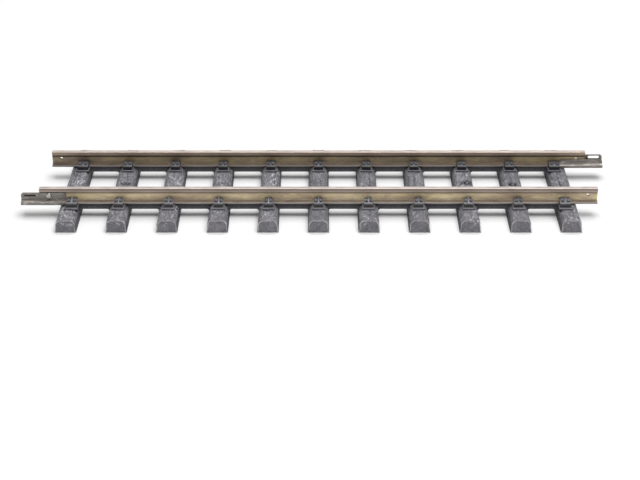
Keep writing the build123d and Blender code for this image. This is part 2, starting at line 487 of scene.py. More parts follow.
@dataclass(frozen=True)
class MouldedPlastic:
    """Moulded grey-black plastic, bleached and scuffed on what stands proud.

    The meshes carry two point attributes: wear, 1 where a ridge or an edge is rubbed
    pale, which also holds painted light on the chairs' bolts and ribs, and grime, 1 where
    a hollow holds dark dirt, which also holds painted shade on shaded sides and in corners.
    """

    name: str
    base: str
    worn: str
    grimy_and_shaded: str
    dust: str
    hollow: str = "0c0b0e"  # where the grime is complete: in knots, and as painted shade on the inner jaws by the web
    cloud: Cell = (5.0, 5.0, 5.0)  # bleached clouds
    pore: Cell = (0.9, 0.9, 0.9)  # moulded pores, drawn coarser than the real 0.1 mm
    fibre: Cell = (0.45, 1.7, 0.45)  # fine moulded wood fibres
    fibre_share: float = 0.16  # how pale the fibres are where nothing is rubbed
    dust_share: float = 0.35
    roughness: float = 0.62
    uneven: float = 0.12  # how far the pores change the roughness
    shading: Point = (0.62, 1.38)  # darkest and lightest of the pores
    bump: Point = (0.5, 0.08)

    def _rubbed(self, coat: Coat, wear: Socket, clean: Socket) -> Socket:
        """What is rubbed pale: worn places, most on fibres, and faint fibres elsewhere.

        Args:
            coat: the material in the making.
            wear: the wear that the mesh carries.
            clean: 1 where neither dirt nor painted shade lies.

        Returns:
            The share of the pale colour.
        """
        tree = coat.tree
        fibres = coat.pattern(Measure.FIBRES, self.fibre, 3.0, distortion=0.9)
        spans = ({1: 0.40, 2: 0.62, 3: 0.45, 4: 1.5}, {1: 0.48, 2: 0.66, 4: self.fibre_share})
        catching, faint = (
            add_node(tree, "ShaderNodeMapRange", {0: fibres, **span}, **EASED) for span in spans
        )
        seen = add_node(tree, "ShaderNodeMath", {0: faint, 1: clean}, operation="MULTIPLY")
        pale = {0: wear, 1: catching, 2: seen}
        return add_node(tree, "ShaderNodeMath", pale, operation="MULTIPLY_ADD")

    def material(self) -> bpy.types.Material:
        """Builds the finish.

        Returns:
            The node material.
        """
        coat = Coat(self.name, self.base)
        tree = coat.tree
        wear, grime = (
            add_node(tree, "ShaderNodeAttribute", output="Fac", attribute_name=kind.value)
            for kind in Attribute
        )
        clean = add_node(tree, "ShaderNodeMath", {0: 1.0, 1: grime}, operation="SUBTRACT")
        rubbed = self._rubbed(coat, wear, clean)
        coat.measures |= {Measure.GRIME: grime, Measure.RUBBED: rubbed}
        coat.pattern(Measure.CLOUD, self.cloud, 5.0, 0.65)
        pores = coat.pattern(Measure.PORES, self.pore, 3.0, 0.7)
        coat.lay(Layer(self.dust, Measure.CLOUD, 0.35, 0.68, self.dust_share))
        coat.shade(Measure.PORES, self.shading)
        coat.lay(
            Layer(self.grimy_and_shaded, Measure.GRIME, 0.0, 1.0, soft=False),
            Layer(self.hollow, Measure.GRIME, 0.82, 1.0, soft=False),
            Layer(self.worn, Measure.RUBBED, 0.0, 1.0, soft=False),
        )
        span = {3: self.roughness - self.uneven, 4: self.roughness + self.uneven}
        dull = add_node(tree, "ShaderNodeMapRange", {0: pores, **USUAL_NOISE, **span})
        gloss = {0: clean, 1: USUAL_SPECULAR}
        shine = add_node(tree, "ShaderNodeMath", gloss, operation="MULTIPLY")
        looks = {"Roughness": dull, "Specular IOR Level": shine, "IOR": 1.5}
        return coat.finish(pores, self.bump, looks)


# ---- Meshes ------------------------------------------------------------------------


class MeshDraft:
    """Vertices, faces and point attributes collected before they become an object."""

    def __init__(self) -> None:
        """Starts with nothing."""
        self.vertices: list[np.ndarray] = []
        self.faces: Faces = []
        self.values: dict[Attribute, list[np.ndarray]] = {kind: [] for kind in Attribute}
        self.count = 0

    def add(
        self,
        vertices: np.ndarray,
        faces: Iterable[Sequence[int]],
        wear: np.ndarray | float = 0.0,
        grime: np.ndarray | float = 0.0,
    ) -> None:
        """Adds a patch.

        Args:
            vertices: n rows of x, y and z in millimetres.
            faces: corners as numbers into this patch's vertices.
            wear: the wear of each vertex, with any painted light, or one for all.
            grime: the grime and painted shade of each vertex, or one for all.
        """
        self.vertices.append(vertices)
        self.faces.extend(tuple(self.count + corner for corner in face) for face in faces)
        for kind, value in ((Attribute.WEAR, wear), (Attribute.GRIME, grime)):
            self.values[kind].append(np.broadcast_to(value, len(vertices)).astype(float))
        self.count += len(vertices)

    def place(self, x: float, y: float, z: float) -> None:
        """Moves everything collected so far."""
        self.vertices = [patch + np.array((x, y, z)) for patch in self.vertices]

    def merge(self, other: "MeshDraft", x: float) -> None:
        """Takes in a copy of another draft at a place along the track."""
        wear, grime = (np.concatenate(other.values[kind]) for kind in Attribute)
        self.add(np.concatenate(other.vertices) + (x, 0.0, 0.0), other.faces, wear, grime)

    def build(self, name: str, smooth_angle: float = 35.0, weld: float = 0.0) -> bpy.types.Object:
        """Turns the draft into an object in metres.

        Args:
            name: the object's name.
            smooth_angle: edges sharper than this, in degrees, stay sharp.
            weld: vertices nearer than this, in millimetres, become one.

        Returns:
            The new object, linked to the scene.
        """
        mesh = bpy.data.meshes.new(name)
        vertices = np.concatenate(self.vertices) * MM
        mesh.from_pydata(vertices.tolist(), [], self.faces)
        for kind in Attribute:
            layer = mesh.attributes.new(kind.value, "FLOAT", "POINT")
            layer.data.foreach_set("value", np.concatenate(self.values[kind]).astype(np.float32))
        tidy = bmesh.new()
        tidy.from_mesh(mesh)
        if weld:
            bmesh.ops.remove_doubles(tidy, verts=tidy.verts, dist=weld * MM)
        bmesh.ops.recalc_face_normals(tidy, faces=tidy.faces)
        tidy.to_mesh(mesh)
        tidy.free()
        mesh.polygons.foreach_set("use_smooth", [True] * len(mesh.polygons))
        mesh.set_sharp_from_angle(angle=math.radians(smooth_angle))
        return link(name, mesh)


def ring_faces(rings: int, around: int, closed: bool = True) -> Faces:
    """Four-sided faces between rings of vertices, numbered one ring after another.

    Args:
        rings: how many rings there are.
        around: how many vertices a ring has.
        closed: whether a ring's last vertex joins its first.

    Returns:
        The faces.
    """
    faces = []
    for start in range(0, (rings - 1) * around, around):
        for spot in range(around if closed else around - 1):
            here, beside = start + spot, start + (spot + 1) % around
            faces.append((here, beside, beside + around, here + around))
    return faces


def last_ring(rings: int, around: int) -> tuple[int, ...]:
    """One face over the last of such rings."""
    return tuple(range((rings - 1) * around, rings * around))


def rounded_prism(
    outline: Sequence[Point], span: Point, rounding: float, axis: Axis
) -> tuple[np.ndarray, Faces]:
    """A prism with softly rounded edges, as a mould gives.

    Args:
        outline: corners of the section, in order.
        span: where the prism starts and ends along its axis.
        rounding: width of the rounding.
        axis: the direction that it is drawn out in.

    Returns:
        Vertices in millimetres, and faces.
    """
    draft = bmesh.new()
    near, far = (
        [
            draft.verts.new((place, a, b) if axis is Axis.ALONG_TRACK else (a, place, b))
            for a, b in outline
        ]
        for place in span
    )
    draft.faces.new(near)
    draft.faces.new(reversed(far))
    for here in range(len(outline)):
        after = (here + 1) % len(outline)
        draft.faces.new((near[here], far[here], far[after], near[after]))
    bmesh.ops.recalc_face_normals(draft, faces=draft.faces)
    bmesh.ops.bevel(
        draft,
        geom=list(draft.edges),
        offset=rounding,
        segments=2,
        profile=0.5,
        affect="EDGES",
        clamp_overlap=True,
    )
    draft.verts.index_update()
    vertices = np.array([vertex.co[:] for vertex in draft.verts])
    faces = [tuple(vertex.index for vertex in face.verts) for face in draft.faces]
    draft.free()
    return vertices, faces


# ---- The sleeper strip -------------------------------------------------------------


class Pattern(Enum):
    """Random patterns on a sleeper, each with its cells' length and width in millimetres."""

    BEND_ALONG = (7.0, 5.0)
    BEND_ACROSS = (6.0, 5.0)
    COARSE = (5.0, 1.2)
    FINE = (1.7, 0.75)
    FLECK = (0.9, 0.7)
    HEAVE = (9.0, 4.0)
    VEINS = (2.6, 1.5)
    HATCH = (2.0, 0.55)
    WANDER = (9.0, 1.0)
    CHIPS = (1.7, 1.5)
    CLUSTER = (7.0, 4.5)
    RAGGED = (2.2, 1.8)
    END_BUMPS = (2.6, 2.6)
    END_SPECKS = (0.8, 0.8)
    END_RAGGED = (2.2, 2.2)


class Relief:
    """Smooth random heights over a grid of points, for carved and worn surfaces."""

    def __init__(self, seed: int, along: np.ndarray, across: np.ndarray) -> None:
        """Starts a seeded generator.

        Args:
            seed: its seed.
            along: first place of each point.
            across: second place of each point, in an array of the same shape.
        """
        self.random = np.random.default_rng(seed)
        self.along = along
        self.across = across

    def noise(self, pattern: Pattern, places: Arrays | None = None) -> np.ndarray:
        """Random heights from -1 to 1, smooth between the corners of a grid of cells.

        Args:
            pattern: tells the size of the cells.
            places: both places of each point, where they aren't its own.

        Returns:
            A height for each point.
        """
        along, across = places or (self.along, self.across)
        row, down = self._cell(along, pattern.value[0])
        column, right = self._cell(across, pattern.value[1])
        table = self.random.uniform(-1.0, 1.0, (row.max() + 2, column.max() + 2))
        near = table[row, column] * (1 - right) + table[row, column + 1] * right
        far = table[row + 1, column] * (1 - right) + table[row + 1, column + 1] * right
        return near * (1 - down) + far * down

    def ragged(self, pattern: Pattern) -> np.ndarray:
        """How much is left, from a quarter to 1, of an edge that is chipped here and there."""
        return np.clip(0.8 + 0.6 * self.noise(pattern), 0.25, 1.0)

    def _cell(self, places: np.ndarray, size: float) -> Arrays:
        """Finds the cell that each place lies in.

        Args:
            places: places along one direction.
            size: size of a cell.

        Returns:
            The cell's number and the eased share of it that lies before each place.
        """
        scaled = (places - places.min()) / size + self.random.uniform(0.0, 1.0)
        index = np.floor(scaled).astype(int)
        part = scaled - index
        return index, part * part * (3.0 - 2.0 * part)

    def cuts(self, centres: np.ndarray, lengths: Point, width: float) -> Arrays:
        """Short knife cuts at random angles, each with a pale burr on one side.

        Args:
            centres: the middle of each cut.
            lengths: shortest and longest cut.
            width: half the width of a cut.

        Returns:
            How deep in a cut and how much on a burr each point lies, from 0 to 1.
        """
        groove = np.zeros_like(self.along)
        burr = groove.copy()
        for middle_along, middle_across in centres:
            angle = self.random.uniform(0.35, 1.25) * self.random.choice((-1.0, 1.0))
            half = self.random.uniform(*lengths) / 2
            forward = self.along - middle_along
            sideways = self.across - middle_across
            run = forward * math.cos(angle) + sideways * math.sin(angle)
            off = sideways * math.cos(angle) - forward * math.sin(angle)
            inside = smoothstep(half, 0.55 * half, np.abs(run))
            groove = np.maximum(groove, inside * np.exp(-((off / width) ** 2)))
            burr = np.maximum(burr, inside * np.exp(-(((off - 1.5 * width) / width) ** 2)))
        return groove, burr


class Grain(Relief):
    """Wood grain of one sleeper: patterns from -1 to 1 that share the same gentle bends."""

    bend: Point = (1.3, 0.9)  # most that the grain bends along and across the sleeper
    split_depth: float = 0.12
    fleck_depth: float = 0.06
    hatch_depth: float = 0.05
    vein_height: float = 0.07
    vein_width: float = 0.16  # as a share of its pattern's height
    vein_wear: float = 0.26
    hatch_wear: float = 0.22
    end_clean: float = 0.85  # share of the wear that whittling takes away at the ends

    def __init__(self, seed: int, along: np.ndarray, across: np.ndarray) -> None:
        """Draws the patterns.

        Args:
            seed: the sleeper's seed.
            along: place along the sleeper of each point.
            across: place round the outline of each point.
        """
        super().__init__(seed, along, across)
        self.bend_along = self.bend[0] * self.noise(Pattern.BEND_ALONG)
        self.bend_across = self.bend[1] * self.noise(Pattern.BEND_ACROSS)
        bent = (along + self.bend_along, across + self.bend_across)
        self.coarse = self.noise(Pattern.COARSE, bent)
        self.fine = self.noise(Pattern.FINE, bent)
        self.fleck = self.noise(Pattern.FLECK, bent)
        self.heave = self.noise(Pattern.HEAVE)
        from_vein = np.abs(self.noise(Pattern.VEINS, bent))
        self.veins = np.clip(1.0 - from_vein / self.vein_width, 0.0, 1.0)
        self.hatch = self.noise(Pattern.HATCH, (bent[0] + 0.6 * bent[1], bent[1]))

    def depth(self) -> np.ndarray:
        """Adds up the split grain, its flecks and its fine hatching, less the raised veins.

        Returns:
            The depth of each point in millimetres.
        """
        split = 1.0 - (0.40 * self.coarse + 0.32 * self.fine + 0.28 * self.heave)
        depth = self.split_depth * split + self.fleck_depth * (1.0 - self.fleck)
        return depth + self.hatch_depth * (1.0 - self.hatch) - self.vein_height * self.veins

    def rubbed(self, weathering: float, cluster: np.ndarray, near_end: np.ndarray) -> np.ndarray:
        """Wear of what stands proud, in clusters, and of the veins.

        Args:
            weathering: how much of the surface is rubbed pale.
            cluster: 1 where most is rubbed.
            near_end: 1 at the ends, where whittling took the grain away.

        Returns:
            The wear of each point.
        """
        mixed = 0.45 * self.fine + 0.55 * self.fleck + 0.25 * self.coarse
        wear = weathering * smoothstep(0.05, 0.75, mixed) * (0.06 + 0.40 * cluster)
        wear += (0.3 + 0.7 * weathering) * self.hatch_wear * smoothstep(-0.1, 0.7, self.hatch)
        veined = self.vein_wear * weathering * self.veins * cluster
        return wear * (1.0 - self.end_clean * near_end) + veined


@dataclass
class Knot:
    """A moulded knot in a sleeper's grain: broken rings, deepest on the front side."""

    along: float
    across: float
    radius: float = 2.4
    stretch: float = 1.25  # how much wider than long
    ring: float = 1.4  # from one ring to the next
    pit: float = 0.12  # depth of the whole knot
    groove: float = 0.45  # depth of its rings

    def carve(self, grain: Grain) -> Arrays:
        """Works out the knot's shape.

        Args:
            grain: the sleeper's grain, which bends the rings.

        Returns:
            Depth in millimetres and darkness of each point.
        """
        back = grain.along + 0.3 * grain.bend_along - self.along
        sideways = (grain.across + 0.4 * grain.bend_across - self.across) / self.stretch
        radius = np.hypot(back, sideways)
        rings = np.cos((radius + 0.35 * grain.fine) * 2 * math.pi / self.ring)
        dark = np.exp(-((radius / self.radius) ** 6))
        gouge = dark * smoothstep(-0.8, 0.0, rings - 0.25 * back / self.radius)
        return self.pit * dark + self.groove * gouge, 0.3 * dark + 0.7 * gouge


@dataclass(frozen=True)
class EndFace:
    """The flat face at an end of a sleeper: a little sunk and uneven, with knife cuts."""

    middle: float = 0.45  # height of its middle, as a share of the sleeper's
    inner_rings: int = 13  # of its mesh, inside those along its edge
    sole_points: int = 22  # of its mesh, along the sole
    sunk: float = 0.12  # behind its rim
    bump_height: float = 0.05
    speck_height: float = 0.02
    cut_depth: float = 0.25
    cut_lengths: Point = (1.4, 3.2)
    cut_spots: tuple[Point, Point] = ((-4.5, 3.8), (4.5, 7.0))  # across and up, least and most
    edge_shares: Point = (0.90, 0.97)  # of the way to the rim, between which it is worn
    level_drop: Point = (0.5, 0.1)  # depths below the top between which the edge turns level
    level_clean: float = 0.7  # share of the edge's wear that is missing there
    wear: float = 0.10
    burr_wear: float = 0.7
    grime: float = 0.12


@dataclass
class Sleeper:
    """One moulded sleeper: arched, carved like split timber, and hollow below."""

    length: float
    width: float = 11.3
    height: float = 7.3
    draft: float = 0.25
    shoulder_drop: float = 2.7
    shoulder_run: float = 2.4
    fullness: float = 1.6  # of the shoulder, from 1 for a flat slope to 2 for a quarter round
    shoulder_points: int = 12
    inner_bend: float = 0.8  # shoulder of the hollows, as a share of the outer one
    wall: float = 1.6
    rail_line: float = 24.0
    chair_shift: float = 0.0  # of the chairs' middle from the sleeper's, along the track
    step_along: float = 0.38  # between rows of the carved surface
    step_across: float = 0.28
    fine_length: float = 5.0  # of each end, where the rows lie twice as close
    deepest: float = 0.8  # that anything is carved
    end_reach: float = 4.0  # how far in the ends' chips and whittling go
    chip_depth: float = 0.20
    cracks: int = 5
    crack_width: float = 0.30
    crack_depth: float = 0.20
    crack_fade: float = 5.0
    crack_half: float = 4.6  # half the stretch across the sleeper that cracks start in
    crack_wander: float = 0.7
    crack_grime: float = 0.8
    crack_dark: Point = (0.30, 0.52)  # depths between which a crack darkens
    cut_width: float = 0.30
    cut_depth: float = 0.30
    cut_lengths: Point = (1.6, 4.0)
    cut_inset: Point = (0.4, 5.0)  # nearest to and farthest from the sleeper's end
    cut_half: float = 5.5  # half the stretch across the sleeper that cuts lie in
    end: EndFace = EndFace()
    lip: float = 0.42  # width of the worn edge round each end
    lip_depth: float = 0.10
    lip_wear: float = 0.25  # on top; it is 1 on the shoulders and the flanks
    level_top: float = 0.98  # eased share of a shoulder from which the top counts as level
    burr_wear: float = 0.75
    groove_clean: float = 0.3  # wear that a cut takes away
    clusters: Point = (-0.25, 0.75)  # heights of their pattern between which the wear sets in
    soil_half: float = 7.0  # half the width of the dirt under a rail
    soil_grime: float = 0.5
    flank_drop: Point = (1.8, 3.5)  # depths below the top between which a flank's painted shade sets in
    # painted shade on the sleeper's sides
    flank_shade: float = 0.7
    flank_wear_shaded: float = 0.75  # share of the wear that the painted shade takes away there
    bed_half: Point = (9.7, 3.7)  # of the hollow that the chairs' plates lie in
    bed_edge: float = 0.2  # half the width of its soft edge
    bed_depth: float = 0.3
    bed_grime: float = 0.4
    bed_clean: float = 0.7  # share of the wear that is missing there
    plain_foot: float = 1.2  # height over which the carving fades away towards the sole
    foot_wear: float = 0.3  # share of the wear that is left at the sole
    weathering: float = 1.0  # how much of the surface is rubbed pale
    whittled: tuple[int, int] = (2, 2)  # knife cuts at the front and the back end
    seed: int = 1
    knots: list[Knot] = field(default_factory=list)
    recess: tuple[float, float, float, float] | None = None  # from x, to x, half width, floor

    def outline(self) -> np.ndarray:
        """Draws the arched section.

        Returns:
            Places across and up, from the left sole over the top to the right sole.
        """
        half = self.width / 2
        shoulder = half - self.draft
        base = self.height - self.shoulder_drop
        angles = np.linspace(0.0, math.pi / 2, self.shoulder_points)
        power = 2 / self.fullness
        across = shoulder - self.shoulder_run * (1 - np.cos(angles) ** power)
        up = base + self.shoulder_drop * np.sin(angles) ** power
        right = [(half, 0.0), *zip(across, up, strict=True)]
        left = [(-x, z) for x, z in right]
        corners = np.array([*left, *reversed(right)])
        places = self.reach(corners)
        samples = np.linspace(places[0], places[-1], int(np.ptp(places) / self.step_across) + 1)
        return np.stack([np.interp(samples, places, corners[:, k]) for k in (0, 1)], axis=1)

    def reach(self, points: np.ndarray) -> np.ndarray:
        """Measures along an outline.

        Args:
            points: the outline's points.

        Returns:
            Distance of each point along it, counted from its middle.
        """
        runs = np.linalg.norm(np.diff(points, axis=0), axis=1)
        places = np.concatenate(([0.0], np.cumsum(runs)))
        return places - places[-1] / 2

    def rows(self) -> np.ndarray:
        """Places the surface's rows, closer together at the ends.

        Returns:
            The rows' places along the sleeper, with one at each wall of the hollows.
        """
        half = self.length / 2
        fine = np.arange(0.0, self.fine_length, self.step_along / 2)
        start = half - self.fine_length
        middle = np.linspace(-start, start, int(2 * start / self.step_along))
        walls = [half - self.wall, self.rail_line + self.wall / 2, self.rail_line - self.wall / 2]
        both = [*walls, *(-wall for wall in walls)]
        return np.unique(np.concatenate((-half + fine, middle, half - fine, both)).round(4))

    def carve(
        self, along: np.ndarray, across: np.ndarray, rise: np.ndarray
    ) -> tuple[np.ndarray, np.ndarray, np.ndarray]:
        """Works out the carved depth, wear, and grime with painted shade, of the surface.

        Args:
            along: place along the sleeper of each point.
            across: place round the outline, counted from its middle.
            rise: height of each point above the sole.

        Returns:
            Depth in millimetres, wear, and grime with painted shade.
        """
        grain = Grain(self.seed, along, across)
        depth = grain.depth() + self._cracks(grain)
        knotted = np.zeros_like(along)
        for knot in self.knots:
            pits, dark = knot.carve(grain)
            depth += pits
            knotted = np.maximum(knotted, dark)
        to_end = self.length / 2 - np.abs(along)
        near_end = np.exp(-to_end / self.end_reach)
        lip = np.exp(-((to_end / self.lip) ** 2))
        chips = np.clip(grain.noise(Pattern.CHIPS), 0.0, None)
        cluster = smoothstep(*self.clusters, grain.noise(Pattern.CLUSTER))
        groove, burr = self._cuts(grain)
        depth += self.chip_depth * near_end * chips + self.cut_depth * groove
        depth += self.lip_depth * lip
        # burrs are pale, and so is the lip, most on the shoulders
        wear = grain.rubbed(self.weathering, cluster, near_end)
        wear += self.burr_wear * burr - self.groove_clean * groove
        shoulder = smoothstep(self.shoulder_run, 0.0, self.height - rise) < self.level_top
        wear += lip * grain.ragged(Pattern.RAGGED) * np.where(shoulder, 1.0, self.lip_wear)
        # dirt lies in cracks and knots, under the rails and in the beds; the flanks get painted
        # shade
        cracked = self.crack_grime * smoothstep(*self.crack_dark, depth) * (1.0 - near_end)
        to_rail = np.abs(np.abs(along) - self.rail_line)
        soil = self.soil_grime * np.exp(-((to_rail / self.soil_half) ** 6))
        # painted shade on the flanks, which also takes away their wear
        flank = smoothstep(*self.flank_drop, self.height - rise)
        bed = self._bed(to_rail, np.abs(across - self.chair_shift))
        dirt = (cracked, knotted, soil, self.flank_shade * flank, self.bed_grime * bed)
        wear *= (1.0 - knotted) * (1.0 - self.flank_wear_shaded * flank * (1.0 - lip))
        wear *= 1.0 - self.bed_clean * bed
        fade = smoothstep(0.0, self.plain_foot, rise)
        wear *= self.foot_wear + (1.0 - self.foot_wear) * fade
        depth = np.clip(np.maximum(depth, self.bed_depth * bed), 0.0, self.deepest) * fade
        return depth, np.clip(wear, 0, 1), np.clip(np.max(dirt, axis=0), 0, 1)

    def _bed(self, to_rail: np.ndarray, to_chair: np.ndarray) -> np.ndarray:
        """Finds the hollows that the chairs' plates lie in.

        Args:
            to_rail: distance of each point from the middle of the nearer rail.
            to_chair: distance of each point from the middle of its chair.

        Returns:
            1 in a hollow and 0 outside, with a soft edge.
        """
        spans = zip((to_rail, to_chair), self.bed_half, strict=True)
        soft = self.bed_edge
        return math.prod(smoothstep(half + soft, half - soft, off) for off, half in spans)

    def _cracks(self, grain: Grain) -> np.ndarray:
        """Carves long drying cracks that wander along the grain.

        Args:
            grain: the sleeper's grain.

        Returns:
            The depth of each point in millimetres.
        """
        along = grain.along
        depth = np.zeros_like(along)
        half, fade = self.length / 2, self.crack_fade
        for _ in range(self.cracks):
            start, stop = np.sort(grain.random.uniform(-half, half, 2))
            centre = grain.random.uniform(-self.crack_half, self.crack_half)
            wander = self.crack_wander * grain.noise(Pattern.WANDER, (along, np.zeros_like(along)))
            inside = smoothstep(start, start + fade, along) * smoothstep(stop, stop - fade, along)
            off = (grain.across - centre - wander) / self.crack_width
            depth += self.crack_depth * inside * np.exp(-(off**2))
        return depth

    def _cuts(self, grain: Grain) -> Arrays:
        """Makes the knife cuts near both ends.

        Args:
            grain: the sleeper's grain.

        Returns:
            How deep in a cut and how much on a burr each point lies.
        """
        ends = []
        near, far = self.cut_inset
        for end, count in zip((-1, 1), self.whittled, strict=True):
            spots = grain.random.uniform((near, -self.cut_half), (far, self.cut_half), (count, 2))
            centres = spots * (-end, 1.0) + (end * self.length / 2, 0.0)
            ends.append(grain.cuts(centres, self.cut_lengths, self.cut_width))
        (front_groove, front_burr), (back_groove, back_burr) = ends
        return front_groove + back_groove, front_burr + back_burr

    def build(self) -> MeshDraft:
        """Models the sleeper, standing at the origin and lying along Y.

        Returns:
            The closed surface with its wear, and its grime with painted shade.
        """
        draft = MeshDraft()
        outline = self.outline()
        rows = self.rows()
        along, across = np.meshgrid(rows, self.reach(outline), indexing="ij")
        rise = np.broadcast_to(outline[:, 1], along.shape)
        depth, wear, grime = self.carve(along, across, rise)
        slope = np.gradient(outline, axis=0)
        slope /= np.linalg.norm(slope, axis=1)[:, None]
        x = outline[:, 0] + depth * slope[:, 1]
        z = outline[:, 1] - depth * slope[:, 0]
        if self.recess:
            start, stop, half_width, floor = self.recess
            low, high = sorted((start, stop))
            near_rail = np.abs(np.abs(along) - self.rail_line) < half_width
            inside = near_rail & (x > low) & (x < high)
            z = np.where(inside, np.minimum(z, floor), z)
        surface = np.stack((x, along, z), axis=2)
        faces = ring_faces(len(rows), len(outline), closed=False)
        draft.add(surface.reshape(-1, 3), faces, wear.ravel(), grime.ravel())
        self._add_hollows(draft, rows)
        for row, sign, cuts in ((0, -1, self.whittled[0]), (-1, 1, self.whittled[1])):
            self._add_end(draft, surface[row], sign, cuts // 2)
        return draft

    def _add_hollows(self, draft: MeshDraft, rows: np.ndarray) -> None:
        """Closes the sole with a rim, ribs and three hollow cells.

        Args:
            draft: gets the underside.
            rows: places of the rows along the sleeper.
        """
        half = self.width / 2
        inner = half - self.wall
        ceiling = self.height - self.wall
        bend = ceiling - self.shoulder_drop * self.inner_bend
        top = inner - self.shoulder_run * self.inner_bend
        right = [(top, ceiling), (inner - self.draft, bend), (inner, 0.0), (half, 0.0)]
        lines = [*((-x, z) for x, z in reversed(right)), *right]
        grid = np.array([[(x, y, z) for x, z in lines] for y in rows])
        count = len(lines)
        middle = np.abs(rows[:-1] + rows[1:]) / 2
        off_rib = np.abs(middle - self.rail_line) > self.wall / 2
        hollow = off_rib & (middle < self.length / 2 - self.wall)
        faces: Faces = []
        for row, is_hollow in enumerate(hollow):
            here, after = row * count, (row + 1) * count
            columns = range(1, count - 2) if is_hollow else ()
            for b in (0, *columns, count - 2):
                faces.append((here + b, here + b + 1, after + b + 1, after + b))
            if not is_hollow:
                faces.append((here + 1, here + count - 2, after + count - 2, after + 1))
            if row and is_hollow != hollow[row - 1]:
                faces.append(tuple(range(here + 1, here + count - 1)))
        draft.add(grid.reshape(-1, 3), faces, 0.0, 0.5)

    def _add_end(self, draft: MeshDraft, rim: np.ndarray, sign: int, cuts: int) -> None:
        """Closes one end with a flat face that has a worn edge and a few cuts.

        Args:
            draft: gets the face.
            rim: the surface's last row.
            sign: -1 for the front end, 1 for the back end.
            cuts: how many knife cuts it has.
        """
        face = self.end
        end = np.array((0.0, rim[0, 1], 0.0))
        centre = end + (0.0, 0.0, face.middle * self.height)
        # the face's rings, as shares of the way from its middle to its rim
        inner = np.linspace(0.88, 0.04, face.inner_rings)
        shares = np.concatenate(((1.0, 0.965, 0.925), inner))
        sole = np.linspace(1.0, -1.0, face.sole_points)[1:-1, None] * (self.width / 2, 0.0, 0.0)
        loop = np.concatenate((rim, sole + end))
        points = centre + (loop - centre)[None, :, :] * shares[:, None, None]
        x, z = points[..., 0], points[..., 2]
        inside = 1.0 - shares[:, None] ** 8
        relief = Relief(self.seed * 7 + (3 if sign > 0 else 4), x, z)
        bumps = relief.noise(Pattern.END_BUMPS)
        specks = relief.noise(Pattern.END_SPECKS)
        spots = relief.random.uniform(*face.cut_spots, (cuts, 2))
        groove, burr = relief.cuts(spots, face.cut_lengths, self.cut_width)
        depth = face.sunk + face.bump_height * bumps + face.speck_height * specks
        depth += face.cut_depth * groove
        pale = 1.0 + smoothstep(0.0, 0.8, specks) + smoothstep(-0.5, 1.0, bumps)
        wear = (face.wear * pale + face.burr_wear * burr) * inside
        edge = smoothstep(*face.edge_shares, shares)[:, None] * relief.ragged(Pattern.END_RAGGED)
        wear += edge * (1.0 - face.level_clean * smoothstep(*face.level_drop, self.height - z))
        points[..., 1] -= sign * depth * inside
        faces = [*ring_faces(len(shares), len(loop)), last_ring(len(shares), len(loop))]
        draft.add(points.reshape(-1, 3), faces, np.clip(wear, 0.0, 1.0).ravel(), face.grime)


def by_flank(outer: float, inner: float) -> dict[Flank, float]:
    """A field's values for a jaw outside and a jaw inside the track."""
    return field(default_factory=lambda: {Flank.OUTER: outer, Flank.INNER: inner})


